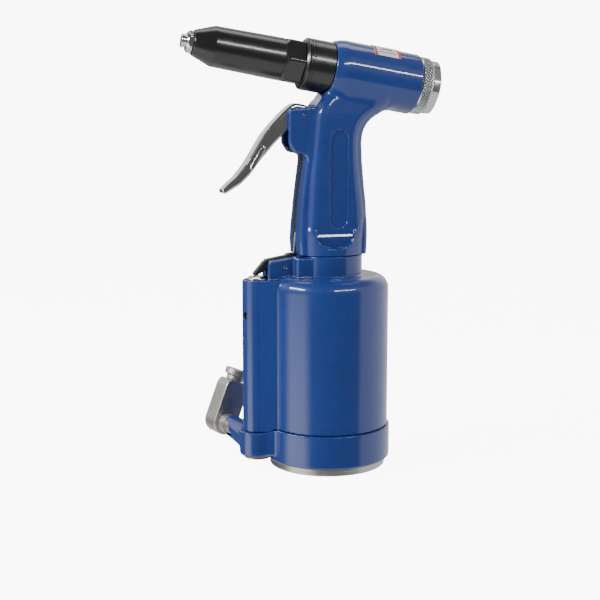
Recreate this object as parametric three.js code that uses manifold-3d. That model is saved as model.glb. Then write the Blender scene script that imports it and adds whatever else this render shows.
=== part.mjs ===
// Air-hydraulic rivet gun, millimetres, +Z up. The origin is the centre of the base disc,
// the nose points to -X and the tool is symmetric about the plane Y = 0 except for its air inlet.
import * as THREE from 'three';
import { mergeVertices } from 'three/addons/utils/BufferGeometryUtils.js';
import { ConvexGeometry } from 'three/addons/geometries/ConvexGeometry.js';
import ManifoldModule from 'manifold-3d';

const wasm = await ManifoldModule();
wasm.setup();

// ---------- driving sizes ----------
const GAP = 0.3;
const CYL_R = 42;            // air cylinder outside radius
const CYL_BORE = 37;
const CYL_BOTTOM = 28.7;     // parting line between cylinder and base cap
const CYL_TOP = 133;
const CHAMBER_TOP = 127;
const NECK_R = 23.7;
const NECK_TOP = 147.6;
const CAP_R = 43.6;
const CAP_BOTTOM = 5.4;
const DISC_R = 40.3;
const TUBE_X = -50.5;        // valve channel beside the cylinder
const TUBE_R = 10;
const TUBE_TOP = 131.5;
const TUBE_BOTTOM = 26.3;
const LOBE_R = 12;
const LOBE_BOTTOM = 8.5;
const VALVE_BORE = 6;
const BUTTON_BORE = 8;
const HANDLE_BOTTOM = 147.9;
const OIL_BORE = 8.5;
const BARREL_TILT = THREE.MathUtils.degToRad(9.8);
const BARREL_X = 0.3;        // where the barrel axis meets the front face of the body
const BARREL_Z = 272.7;
const BARREL_R = 20.4;
const BARREL_REAR = -61;
const HEAD_BORE = 14.4;      // bore of the hydraulic head
const HOUSING_BORE = 9.3;
const NUT_R = 17.5;
const PIVOT = [-20.5, 242.6];        // trigger pin, X and Z
const ROD_TOP = [-14.75, 242.6];     // pin at the top of the trigger rod
const ROD_FOOT = [-24.35, 144.5];
const ROD_R = 1.5;
const ROCKER = [-33.2, 140];         // pin of the valve lever
const SLOT_HALF = 7.6;
const LEVER_HALF = 7;
const CHEEK_HALF = 12;
const INLET_ORIGIN = [-52.6, 0, 21.5];
const INLET_ANGLE = THREE.MathUtils.degToRad(105);
const SWIVEL_LEAN = THREE.MathUtils.degToRad(22);

// ---------- solids ----------
function toManifold(geometry) {
  const g = geometry.clone();
  g.deleteAttribute('normal');
  g.deleteAttribute('uv');
  const m = mergeVertices(g, 1e-4);
  const p = m.attributes.position;
  const idx = m.index.array;
  const tri = [];
  for (let i = 0; i < idx.length; i += 3) {
    const [a, b, c] = [idx[i], idx[i + 1], idx[i + 2]];
    if (a !== b && b !== c && c !== a) tri.push(a, b, c);
  }
  return new wasm.Manifold(new wasm.Mesh({
    numProp: 3, vertProperties: new Float32Array(p.array), triVerts: new Uint32Array(tri),
  }));
}

function fromManifold(manifold) {
  const mesh = manifold.getMesh();
  const g = new THREE.BufferGeometry();
  g.setAttribute('position', new THREE.BufferAttribute(new Float32Array(mesh.vertProperties), 3));
  g.setIndex(new THREE.BufferAttribute(new Uint32Array(mesh.triVerts), 1));
  const flat = g.toNonIndexed();
  flat.computeVertexNormals();
  return flat;
}

const join = (...parts) => fromManifold(parts.map(toManifold).reduce((a, b) => a.add(b)));
const cut = (body, ...tools) => fromManifold(tools.map(toManifold)
  .reduce((a, b) => a.subtract(b), toManifold(body)));
const common = (a, b) => fromManifold(toManifold(a).intersect(toManifold(b)));

// Solid of revolution about +Z; profile is [radius, z], counter-clockwise.
function turned(profile, segments = 24) {
  const pts = profile.map(([r, z]) => new THREE.Vector2(r, z));
  return new THREE.LatheGeometry(pts, segments).rotateX(Math.PI / 2);
}

function rod(r, z0, z1, segments = 24) {
  return turned([[0, z0], [r, z0], [r, z1], [0, z1]], segments);
}

function ring(rIn, rOut, z0, z1, segments = 24) {
  return turned([[rIn, z0], [rOut, z0], [rOut, z1], [rIn, z1], [rIn, z0]], segments);
}

function box(x0, x1, y0, y1, z0, z1) {
  return new THREE.BoxGeometry(x1 - x0, y1 - y0, z1 - z0)
    .translate((x0 + x1) / 2, (y0 + y1) / 2, (z0 + z1) / 2);
}

// Plate in the XZ plane, from y0 to y1.
function plateXZ(points, y0, y1) {
  const shape = new THREE.Shape(points.map(([x, z]) => new THREE.Vector2(x, z)));
  return new THREE.ExtrudeGeometry(shape, { depth: y1 - y0, bevelEnabled: false })
    .rotateX(Math.PI / 2).translate(0, y1, 0);
}

// Prism standing on the XY plane.
function prismXY(points, z0, z1) {
  const shape = new THREE.Shape(points.map(([x, y]) => new THREE.Vector2(x, y)));
  return new THREE.ExtrudeGeometry(shape, { depth: z1 - z0, bevelEnabled: false }).translate(0, 0, z0);
}

// Cylinder across the tool, along Y.
function crossPin(r, [x, z], y0, y1, segments = 16) {
  return rod(r, y0, y1, segments).rotateX(-Math.PI / 2).translate(x, 0, z);
}

// Cylinder between two points.
function spoke(r, a, b, segments = 12) {
  const from = new THREE.Vector3(...a);
  const dir = new THREE.Vector3(...b).sub(from);
  const turn = new THREE.Quaternion().setFromUnitVectors(new THREE.Vector3(0, 0, 1), dir.clone().normalize());
  return rod(r, 0, dir.length(), segments).applyQuaternion(turn).translate(...a);
}

// Closed loft through sections given as [z, front x, rear x, half width].
function loft(sections, power, count = 24) {
  const pos = [];
  const idx = [];
  const sign = (v, p) => Math.sign(v) * Math.abs(v) ** p;
  for (const [z, front, rear, half] of sections) {
    for (let i = 0; i < count; i++) {
      const t = (2 * Math.PI * i) / count;
      const x = (front + rear) / 2 + ((rear - front) / 2) * sign(Math.cos(t), 2 / power);
      pos.push(x, half * sign(Math.sin(t), 2 / power), z);
    }
  }
  const last = sections.length - 1;
  for (let s = 0; s < last; s++) {
    for (let i = 0; i < count; i++) {
      const j = (i + 1) % count;
      const [a, b, c, d] = [s * count + i, s * count + j, (s + 1) * count + j, (s + 1) * count + i];
      idx.push(a, b, c, a, c, d);
    }
  }
  for (const [s, up] of [[0, false], [last, true]]) {
    const [z, front, rear] = sections[s];
    const centre = pos.length / 3;
    pos.push((front + rear) / 2, 0, z);
    for (let i = 0; i < count; i++) {
      const [a, b] = [s * count + i, s * count + ((i + 1) % count)];
      idx.push(...(up ? [a, b, centre] : [b, a, centre]));
    }
  }
  const g = new THREE.BufferGeometry();
  g.setAttribute('position', new THREE.Float32BufferAttribute(pos, 3));
  g.setIndex(idx);
  return g;
}

// Barrel frame: local +Z runs to the nose, local +X points up.
function alongBarrel(geometry) {
  return geometry.rotateY(BARREL_TILT - Math.PI / 2).translate(BARREL_X, 0, BARREL_Z);
}

// Helical spring with closed wire ends.
function coil(radius, wire, z0, z1, turns, steps = 8, sides = 4) {
  const n = turns * steps;
  const pos = [];
  const idx = [];
  for (let i = 0; i <= n; i++) {
    const t = (2 * Math.PI * i) / steps;
    const z = z0 + wire + ((z1 - z0 - 2 * wire) * i) / n;
    for (let k = 0; k < sides; k++) {
      const u = (2 * Math.PI * k) / sides;
      const r = radius + wire * Math.cos(u);
      pos.push(r * Math.cos(t), r * Math.sin(t), z + wire * Math.sin(u));
    }
  }
  for (let i = 0; i < n; i++) {
    for (let k = 0; k < sides; k++) {
      const [a, b] = [i * sides + k, i * sides + ((k + 1) % sides)];
      idx.push(a, a + sides, b + sides, a, b + sides, b);
    }
  }
  for (let k = 1; k < sides - 1; k++) idx.push(0, k, k + 1, n * sides, n * sides + k + 1, n * sides + k);
  const g = new THREE.BufferGeometry();
  g.setAttribute('position', new THREE.Float32BufferAttribute(pos, 3));
  g.setIndex(idx);
  g.computeVertexNormals();
  return g;
}

// ---------- finishes ----------
const finishes = {
  bluePaint: [0x1f4a9c, 0.25, 0.1],
  blackAnodised: [0x16171a, 0.35, 0.4],
  chrome: [0xc8ccd2, 0.12, 1],
  steel: [0x9a9da2, 0.35, 1],
  darkSteel: [0x55585c, 0.4, 0.9],
  aluminium: [0xb4b6b8, 0.4, 1],
  nickel: [0xb9b4aa, 0.4, 0.9],
  brass: [0xb8964a, 0.35, 1],
  rubber: [0x1a1a1b, 0.8, 0],
  label: [0xe8e8e6, 0.5, 0],
};

function mesh(name, finish, geometry) {
  const [color, roughness, metalness] = finishes[finish];
  const m = new THREE.Mesh(geometry, new THREE.MeshStandardMaterial({ color, roughness, metalness }));
  m.name = name;
  return m;
}

const group = new THREE.Group();
const barrel = new THREE.Group();
barrel.rotation.y = BARREL_TILT - Math.PI / 2;
barrel.position.set(BARREL_X, 0, BARREL_Z);
const inlet = new THREE.Group();
inlet.position.set(...INLET_ORIGIN);
inlet.rotation.z = INLET_ANGLE;
group.add(barrel, inlet);

// ---------- handle and barrel casting ----------
const HANDLE_SECTIONS = [
  [HANDLE_BOTTOM, -23.6, 24.2, 17.6], [157, -24.3, 24.6, 17.6], [168, -23.9, 24.9, 17.4],
  [182, -22.8, 24.4, 17], [195, -21.3, 22.8, 16.5], [211, -19.2, 21.4, 16], [223, -17.6, 21, 16],
  [231, -16.4, 21.9, 16], [236, -15.6, 24, 16], [240, -14.8, 28.2, 16], [243, -13.8, 34, 16],
  [250, -8.8, 40, 15.5], [255, -6, 41, 15], [255.2, -1.4, 41, 15], [262, 1, 42, 14],
];

function rodLineX(z) {
  const t = (z - ROD_FOOT[1]) / (ROD_TOP[1] - ROD_FOOT[1]);
  return ROD_FOOT[0] + t * (ROD_TOP[0] - ROD_FOOT[0]);
}

function handleFoot() {
  const foot = rod(23.6, HANDLE_BOTTOM, 168);
  const slope = (side) => new THREE.BoxGeometry(60, 14, 36)
    .rotateX(side * THREE.MathUtils.degToRad(-22)).translate(0, side * 26.2, 170);
  return cut(foot, slope(1), slope(-1));
}

function rodGroove() {
  const floor = 2.6;
  const z0 = HANDLE_BOTTOM - 2;
  const z1 = 222;
  return plateXZ([[-60, z0], [rodLineX(z0) + floor, z0], [rodLineX(z1) + floor, z1], [-60, z1]], -3.4, 3.4);
}

function handleBody() {
  const cheek = plateXZ([[-30.3, 246.2], [-30.4, 223], [-29.2, 219.4], [-26, 217], [-19, 215.3],
    [-15, 210.5], [-5, 210.5], [-4, 252], [-9, 251], [-11.5, 247.6]], -CHEEK_HALF, CHEEK_HALF);
  const shell = alongBarrel(turned([[0, BARREL_REAR], [18.6, BARREL_REAR], [20, BARREL_REAR + 0.8],
    [BARREL_R, BARREL_REAR + 2.4], [BARREL_R, -5.6], [18.4, 0], [0, 0]]));
  const outside = join(loft(HANDLE_SECTIONS, 3.4), handleFoot(), cheek, shell);
  const recess = [1, -1].map((side) => {
    const pts = [[-2.6, 229], [3.2, 233], [9.2, 229], [8.4, 176], [2.2, 171], [-3.8, 176]];
    return side > 0 ? plateXZ(pts, 14.6, 30) : plateXZ(pts, -30, -14.6);
  });
  return cut(outside,
    alongBarrel(rod(HEAD_BORE, -70, -9)), alongBarrel(rod(12.3, -10, 5)),
    rod(OIL_BORE, HANDLE_BOTTOM - 1, 247), rod(12.3, HANDLE_BOTTOM - 1, 153),
    spoke(2.4, [1, 0, 243], [9, 0, 263]),
    rodGroove(), box(-40, -10.9, -SLOT_HALF, SLOT_HALF, 221, 260),
    crossPin(2, PIVOT, -20, 20), ...recess);
}

group.add(mesh('handle_body', 'bluePaint', handleBody()));

// ---------- air cylinder with neck, valve channel and lugs ----------
function channelPlan(grow) {
  const r = TUBE_R + grow;
  const pts = [[-30, -14.6 - grow], [-39.4, -14.6 - grow]];
  for (let i = 0; i <= 14; i++) {
    const t = THREE.MathUtils.degToRad(-110.5 - (139 * i) / 14);
    pts.push([TUBE_X + r * Math.cos(t), r * Math.sin(t)]);
  }
  pts.push([-39.4, 14.6 + grow], [-30, 14.6 + grow]);
  return pts.reverse();
}

function airCylinder() {
  const shell = turned([[0, CYL_BOTTOM], [CYL_R, CYL_BOTTOM], [CYL_R, 121.5], [41, 126.5], [38, 130.6],
    [33.5, CYL_TOP - 0.3], [31.5, CYL_TOP], [NECK_R, CYL_TOP + 0.6], [NECK_R, NECK_TOP], [0, NECK_TOP]], 36);
  const channel = cut(prismXY(channelPlan(0), TUBE_BOTTOM, TUBE_TOP), rod(43.9, 10, CYL_BOTTOM, 36));
  const lug = (y0, y1) => plateXZ([[-44.4, 128], [-20, 128], [-20, 146.6], [-29.6, 146.2], [-43, 144],
    [-44.4, 142.6]], y0, y1);
  const block = box(-27.2, -8, -17.5, 17.5, 130, 146.8);
  const outside = join(shell, channel, lug(3.4, 9.6), lug(-9.6, -3.4), block);
  return cut(outside,
    rod(CYL_BORE, 20, CHAMBER_TOP, 36), rod(12.3, CHAMBER_TOP - 1, NECK_TOP + 1),
    rod(VALVE_BORE, 20, 96, 24).translate(TUBE_X, 0, 0),
    rod(BUTTON_BORE, 95, 150, 24).translate(TUBE_X, 0, 0),
    box(-42, -19.4, -3.4, 3.4, 134.6, 150), crossPin(1.6, ROCKER, -12, 12),
    spoke(1.8, [TUBE_X, 0, 37.4], [-36, 0, 37.4]),
    spoke(2.6, [TUBE_X, 0, 107], [TUBE_X - 12, -4, 107]));
}

group.add(mesh('air_cylinder', 'bluePaint', airCylinder()));

// ---------- base ----------
function baseCap() {
  const main = turned([[0, CAP_BOTTOM], [42.2, CAP_BOTTOM], [CAP_R, CAP_BOTTOM + 1.6],
    [CAP_R, CYL_BOTTOM - GAP - 0.6], [CAP_R - 0.6, CYL_BOTTOM - GAP], [36.7, CYL_BOTTOM - GAP], [36.7, 34],
    [0, 34]], 36);
  const lobe = join(prismXY(channelPlan(0.4), LOBE_BOTTOM, TUBE_BOTTOM - GAP),
    turned([[0, LOBE_BOTTOM], [9.6, LOBE_BOTTOM], [11.4, LOBE_BOTTOM + 1.6], [LOBE_R, LOBE_BOTTOM + 5],
      [LOBE_R - 0.4, TUBE_BOTTOM - GAP], [0, TUBE_BOTTOM - GAP]], 36).translate(TUBE_X - 0.5, 0, 0));
  const boss = inletBoss();
  const along = new THREE.Vector3(Math.cos(INLET_ANGLE), Math.sin(INLET_ANGLE), 0);
  const at = (d) => new THREE.Vector3(...INLET_ORIGIN).addScaledVector(along, d).toArray();
  const clearance = prismXY(channelPlan(GAP), TUBE_BOTTOM - GAP, 40);
  return cut(join(main, lobe, cut(boss, clearance)),
    rod(15, 26, 36), rod(30.3, 0, 10, 36), rod(9.8, 0, LOBE_BOTTOM).translate(TUBE_X, 0, 0), rod(VALVE_BORE, 0, 40, 24).translate(TUBE_X, 0, 0),
    spoke(5.2, at(0), at(30)), spoke(6.4, at(24), at(40)));
}

function inletBoss() {
  const pts = [];
  const along = new THREE.Vector3(Math.cos(INLET_ANGLE), Math.sin(INLET_ANGLE), 0);
  const side = new THREE.Vector3(-along.y, along.x, 0);
  for (const [d, r, z] of [[4, 9.6, 18.2], [16, 8.6, 19.9], [34, 7.5, 21.5]]) {
    for (let i = 0; i < 24; i++) {
      const t = (2 * Math.PI * i) / 24;
      pts.push(new THREE.Vector3(...INLET_ORIGIN).setZ(z + r * Math.sin(t))
        .addScaledVector(along, d).addScaledVector(side, r * Math.cos(t)));
    }
  }
  return new ConvexGeometry(pts);
}

group.add(
  mesh('base_cap', 'bluePaint', baseCap()),
  mesh('base_disc', 'aluminium', turned([[0, 0], [DISC_R - 0.8, 0], [DISC_R, 0.8], [DISC_R, 5.1], [30, 5.1],
    [30, 9.6], [0, 9.6]], 36)),
  mesh('bump_ring', 'rubber', ring(22, 30, 34.1, 37)),
);

// ---------- valve in the side channel ----------
function atTube(geometry) {
  return geometry.translate(TUBE_X, 0, 0);
}

function valvePlunger() {
  return atTube(turned([[0, 24.6], [4.7, 24.6], [4.7, 28.2], [3.4, 29.5], [2.5, 29.9], [2.5, 123], [7.1, 123],
    [7.1, 132.6], [6.3, 133.6], [0, 133.6]], 24));
}

group.add(
  mesh('valve_plug', 'brass', atTube(turned([[0, 6.8], [8.9, 6.8], [9.4, 7.4], [9.4, 8.2], [5.9, 8.2],
    [5.9, 13], [0, 13]], 24))),
  mesh('valve_spring', 'steel', atTube(coil(4, 0.6, 13.1, 24.5, 4))),
  mesh('valve_seat', 'brass', atTube(ring(3.6, 5.9, 30, 35.2, 24))),
  mesh('valve_plunger', 'chrome', valvePlunger()),
  mesh('valve_bushing', 'nickel', atTube(ring(2.6, 7.9, 96.1, 118, 24))),
);

function valveLever() {
  const side = [[-21.9, 148], [-26.8, 149.1], [-30.6, 147.2], [-38, 146.2], [-43.8, 145.2], [-46.4, 143.4],
    [-49.4, 139.9], [-52.8, 136], [-53, 134.7], [-51.9, 133.8], [-50.2, 134.4], [-43.6, 138.6], [-39, 139.2],
    [-36.3, 137], [-33.2, 136.2], [-30.2, 137.4], [-28.4, 145.2], [-24.9, 144.1], [-23.8, 144.1],
    [-21.9, 144.7]];
  return cut(plateXZ(side.reverse(), -3, 3), crossPin(1.6, ROCKER, -5, 5),
    box(-27, -15, -1.7, 1.7, 135, 160));
}

group.add(
  mesh('valve_lever', 'blackAnodised', valveLever()),
  mesh('valve_lever_pin', 'steel', crossPin(1.52, ROCKER, -9.5, 9.5)),
);

// ---------- trigger, link rod and guide ----------
const LEVER_TOP = [[-12, 243.6], [-12.9, 246], [-18.1, 248.8], [-24.6, 249.9], [-28.2, 248.2], [-33.9, 243.3],
  [-41.1, 235.9], [-46.8, 229.2], [-53.2, 219], [-59, 209.5], [-66.1, 200.8], [-71.7, 196.1], [-75, 192.8]];
const LEVER_UNDER = [[-74.9, 190.9], [-73.3, 189.9], [-70.3, 191.6], [-61.9, 196.6], [-55.6, 202.6],
  [-49.9, 210.3], [-40.8, 220.7], [-34.4, 227.4], [-30.2, 231.3], [-24.5, 236], [-18, 238.6], [-12.9, 240.2]];

function leverHollow() {
  const inner = LEVER_TOP.slice(2, 11).map(([x, z], i, all) => {
    const [ax, az] = all[Math.max(i - 1, 0)];
    const [bx, bz] = all[Math.min(i + 1, all.length - 1)];
    const len = Math.hypot(bx - ax, bz - az);
    return [x - (1.5 * (bz - az)) / len, z + (1.5 * (bx - ax)) / len];
  });
  return plateXZ([[0, 246.4], ...inner, [-50, 180], [0, 200]], -5.5, 5.5);
}

function triggerLever() {
  return cut(plateXZ([...LEVER_TOP, ...LEVER_UNDER], -LEVER_HALF, LEVER_HALF), leverHollow(),
    crossPin(2.02, PIVOT, -20, 20), crossPin(1.3, ROD_TOP, -20, 20));
}

function triggerRod() {
  const along = new THREE.Vector3(ROD_TOP[0] - ROD_FOOT[0], 0, ROD_TOP[1] - ROD_FOOT[1]).normalize();
  const at = (d) => [ROD_FOOT[0] + along.x * d, 0, ROD_FOOT[1] + along.z * d];
  const length = Math.hypot(ROD_TOP[0] - ROD_FOOT[0], ROD_TOP[1] - ROD_FOOT[1]);
  const body = join(spoke(ROD_R, at(-2), at(length - 1)), spoke(2.3, at(-3.4), at(-1)),
    crossPin(3, ROD_TOP, -2, 2, 24));
  const slot = join(crossPin(1.3, [ROD_TOP[0] - 0.7, ROD_TOP[1]], -5, 5, 20),
    crossPin(1.3, [ROD_TOP[0] + 0.5, ROD_TOP[1]], -5, 5, 20),
    box(ROD_TOP[0] - 0.7, ROD_TOP[0] + 0.5, -5, 5, ROD_TOP[1] - 1.28, ROD_TOP[1] + 1.28));
  return cut(body, slot);
}

function rodGuide() {
  const a = [rodLineX(163), 0, 163];
  const b = [rodLineX(216), 0, 216];
  const reach = (p, d) => [p[0] + d * 0.0974, 0, p[2] + d * 0.9952];
  return cut(spoke(2.3, a, b), spoke(1.62, reach(a, -2), reach(b, 2)));
}

group.add(
  mesh('trigger_lever', 'chrome', triggerLever()),
  mesh('trigger_pin', 'steel', crossPin(1.94, PIVOT, -11.9, 11.9)),
  mesh('rod_pin', 'steel', crossPin(1.2, ROD_TOP, -6.9, 6.9, 24)),
  mesh('trigger_rod', 'darkSteel', triggerRod()),
  mesh('rod_guide', 'rubber', rodGuide()),
);

// ---------- air piston and ram ----------
group.add(
  mesh('air_piston', 'aluminium', turned([[5, 40], [36.4, 40], [36.4, 43.6], [33.4, 43.6], [33.4, 48.4],
    [36.4, 48.4], [36.4, 52], [5, 52], [5, 40]], 36)),
  mesh('piston_seal', 'rubber', ring(33.5, 36.8, 43.7, 48.3, 36)),
  mesh('ram_rod', 'steel', turned([[0, 32.5], [4.8, 32.5], [4.8, 52.2], [6, 52.2], [6, 164], [5, 165.4],
    [0, 165.4]], 24)),
  mesh('piston_nut', 'steel', cut(rod(8, 33, 39.8, 6), rod(4.95, 30, 45))),
  mesh('ram_gland', 'brass', ring(6.1, 12.1, CHAMBER_TOP + 1.3, 147, 24)),
  mesh('gland_seal', 'rubber', ring(6.15, 12.1, 147.3, 152.6, 24)),
);

// ---------- hydraulic head, along the barrel ----------
barrel.add(
  mesh('hydraulic_piston', 'steel', turned([[2.7, -50], [5, -50], [5, -20], [10.6, -20], [14.1, -20],
    [14.1, -17.6], [12, -17.6], [12, -13.6], [14.1, -13.6], [14.1, -11], [7, -11], [7, 33.7], [6, 33.7],
    [6, 45.6], [2.7, 45.6], [2.7, -50]])),
  mesh('head_seal', 'rubber', ring(12.1, 14.3, -17.5, -13.7)),
  mesh('return_spring', 'steel', coil(10.2, 1.1, -54.6, -20.3, 5)),
  mesh('front_gland', 'brass', ring(7.1, 9.2, -7.3, 2, 24)),
  mesh('jaw_case', 'darkSteel', turned([[6.1, 34], [8.8, 34], [8.8, 83.6], [7.6, 85], [3.8, 85], [7.1, 72],
    [7.1, 46], [6.1, 46], [6.1, 34]])),
  mesh('jaw_pusher', 'steel', turned([[2.8, 63], [6.4, 63], [6.4, 70.4], [4.2, 73], [2.8, 73], [2.8, 63]], 24)),
  mesh('pusher_spring', 'steel', coil(4.6, 0.7, 46.1, 62.9, 5)),
);

function jaw(index) {
  const blank = turned([[1.7, 74.2], [3.6, 73.3], [6.35, 74.2], [3.84, 83.9], [1.7, 83.9], [1.7, 74.2]], 36);
  const points = [[0, 0]];
  for (let i = 0; i <= 8; i++) {
    const t = THREE.MathUtils.degToRad(index * 120 + 4 + (112 * i) / 8);
    points.push([20 * Math.cos(t), 20 * Math.sin(t)]);
  }
  return common(blank, prismXY(points, 60, 100));
}

for (let i = 0; i < 3; i++) barrel.add(mesh(`jaw_${i + 1}`, 'steel', jaw(i)));

// ---------- nose ----------
function hexagon(acrossFlats, z0, z1) {
  const pts = [];
  for (let i = 0; i < 6; i++) {
    const t = (Math.PI / 3) * i + Math.PI / 6;
    pts.push([(acrossFlats / Math.sqrt(3)) * Math.cos(t), (acrossFlats / Math.sqrt(3)) * Math.sin(t)]);
  }
  return prismXY(pts, z0, z1);
}

function noseHousing() {
  const body = turned([[0, -7.5], [12, -7.5], [12, 20.4], [13.6, 20.4], [14.2, 34], [13.4, 81], [8.3, 94.4],
    [0, 94.4]]);
  const hex = common(hexagon(27.6, 20.4, 34), turned([[0, 20], [14.6, 20], [15.4, 21.4], [15.4, 31],
    [14, 34.4], [0, 34.4]]));
  return cut(join(body, hex), rod(HOUSING_BORE, -10, 86), rod(5, 85, 96, 24));
}

function lockNut() {
  return turned([[12.3, 0.3], [NUT_R, 0.3], [NUT_R, 14.4], [17.1, 14.7], [17.1, 15.3], [NUT_R, 15.6],
    [NUT_R, 16.6], [17.1, 16.9], [17.1, 17.5], [NUT_R, 17.8], [16.9, 19.3], [15.4, 20.1], [12.3, 20.1],
    [12.3, 0.3]]);
}

function nosepiece() {
  const body = turned([[0, 84.2], [3.1, 84.2], [3.1, 86.4], [4.8, 87.4], [4.8, 94.8], [5.6, 94.8], [5.6, 98.6],
    [3.9, 99], [3.9, 100.6], [4.5, 101], [4.5, 101.6], [4, 102], [0, 102]], 24);
  const hex = common(hexagon(13.4, 94.7, 98.6), turned([[0, 94], [7.4, 94], [7.4, 97.6], [6.4, 99], [0, 99]]));
  return cut(join(body, hex), rod(1.6, 80, 110, 20));
}

barrel.add(
  mesh('frame_lock_nut', 'blackAnodised', lockNut()),
  mesh('nose_housing', 'blackAnodised', noseHousing()),
  mesh('nosepiece', 'chrome', nosepiece()),
);

// ---------- rear ----------
function rearRing() {
  const body = turned([[0, -75], [17.8, -75], [18.6, -74.2], [18.6, -69.6], [0, -69.6]], 24);
  const flats = hexagon(35.6, -76, -69);
  return cut(common(body, flats), rod(10, -80, -60, 24));
}

function labelPlate() {
  const sheet = ring(20.5, 20.9, -52, -30);
  const points = [[0, 0]];
  for (let i = 0; i <= 8; i++) {
    const t = THREE.MathUtils.degToRad(-8 - (46 * i) / 8);
    points.push([40 * Math.cos(t), 40 * Math.sin(t)]);
  }
  return common(sheet, prismXY(points.reverse(), -60, -20));
}

barrel.add(
  mesh('rear_cap', 'aluminium', turned([[5.4, -69.3], [18.9, -69.3], [19.5, -68.6], [19.5, -62.4],
    [18.9, -61.5], [14.1, -61.5], [14.1, -55], [5.4, -55], [5.4, -69.3]])),
  mesh('rear_ring', 'aluminium', rearRing()),
  mesh('label_plate', 'label', labelPlate()),
);

// ---------- swivelling air inlet; local +X runs out of the boss ----------
function sideways(geometry) {
  return geometry.rotateY(Math.PI / 2);
}

function swivelBlock() {
  const outline = [];
  for (let i = 0; i <= 12; i++) {
    const t = Math.PI + (Math.PI * i) / 12;
    outline.push([9.5 * Math.cos(t), 9.5 * Math.sin(t)]);
  }
  outline.push([9.5, 27], [7.5, 30.5], [-7.5, 30.5], [-9.5, 27]);
  const slab = prismXY(outline, 0, 16).rotateX(Math.PI / 2).rotateZ(Math.PI / 2);
  return cut(slab.translate(42.6, 0, 0), sideways(rod(4.4, 30, 54, 24)), rod(4, 0, 40, 24).translate(50.6, 0, 0));
}

const swivel = new THREE.Group();
swivel.rotation.x = SWIVEL_LEAN;
swivel.add(
  mesh('swivel_block', 'nickel', swivelBlock()),
  mesh('hose_port', 'nickel', turned([[4.4, 30.8], [6.6, 30.8], [6.6, 33.4], [9, 34.6], [9, 38.2], [8.2, 39],
    [5.8, 39], [5.8, 34], [4.4, 34], [4.4, 30.8]], 24).translate(50.6, 0, 0)),
);
inlet.add(
  mesh('inlet_stem', 'nickel', sideways(turned([[2.6, 26], [6.1, 26], [6.1, 34.3], [7, 34.3], [7, 42.2],
    [4.3, 42.2], [4.3, 52], [2.6, 52], [2.6, 26]], 24))),
  swivel,
);

export default group;
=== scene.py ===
"""Looks of the air-hydraulic rivet gun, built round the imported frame. Shapes are worked out in millimetres."""
import math

import bmesh
import bpy
import numpy as np
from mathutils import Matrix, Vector


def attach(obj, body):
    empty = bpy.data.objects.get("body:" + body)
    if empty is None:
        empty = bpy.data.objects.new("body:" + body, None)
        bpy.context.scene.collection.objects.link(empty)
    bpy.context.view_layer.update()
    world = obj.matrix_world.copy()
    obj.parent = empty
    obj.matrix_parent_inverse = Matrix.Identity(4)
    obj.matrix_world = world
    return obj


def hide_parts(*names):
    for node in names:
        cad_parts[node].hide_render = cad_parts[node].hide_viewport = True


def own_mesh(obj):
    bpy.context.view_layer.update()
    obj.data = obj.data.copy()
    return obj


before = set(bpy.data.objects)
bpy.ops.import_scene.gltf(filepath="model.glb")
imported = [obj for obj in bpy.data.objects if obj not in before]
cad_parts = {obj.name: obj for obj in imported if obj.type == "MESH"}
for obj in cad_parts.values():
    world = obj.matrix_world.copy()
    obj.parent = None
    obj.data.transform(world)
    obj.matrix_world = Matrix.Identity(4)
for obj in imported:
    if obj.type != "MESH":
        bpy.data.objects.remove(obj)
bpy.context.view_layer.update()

MM = 0.001                      # metres in a millimetre
BARREL_TILT = math.radians(9.8)
COS_TILT, SIN_TILT = math.cos(BARREL_TILT), math.sin(BARREL_TILT)
BARREL_FRONT = (0.3, 272.7)     # X and Z of the casting's front end on the barrel's axis
BARREL_R = 20.4
CHANNEL_X = -50.5               # the valve channel's upright axis
PIVOT = (-20.5, 242.6)          # X and Z of the lever's pin
ROD_TOP = (-14.75, 242.6)       # X and Z of the link rod's two ends
ROD_FOOT = (-24.35, 144.5)
ROCKER = (-33.2, 140.0)         # X and Z of the rocker's pin
BOSS_TURN = math.radians(105)   # which way the inlet boss points, seen from above
SWIVEL_LEAN = math.radians(22)
BLOCK_OUT = 50.6                # from the channel's axis to the middle of the swivel block


# ---------- frames ----------
def frame4(x, y, z, at):
    """A 4 x 4 matrix from three axes and an origin."""
    m = np.eye(4)
    m[:3, 0], m[:3, 1], m[:3, 2], m[:3, 3] = x, y, z, at
    return m


def cross(x, z):
    """Local Z runs across the tool, along +Y."""
    return frame4((1, 0, 0), (0, 0, -1), (0, 1, 0), (x, 0, z))


WORLD = np.eye(4)
# local Z points to the nose and local X up
BARREL = frame4((SIN_TILT, 0, COS_TILT), (0, 1, 0), (-COS_TILT, 0, SIN_TILT),
                (BARREL_FRONT[0], 0, BARREL_FRONT[1]))
TUBE = frame4((1, 0, 0), (0, 1, 0), (0, 0, 1), (CHANNEL_X, 0, 0))
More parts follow.
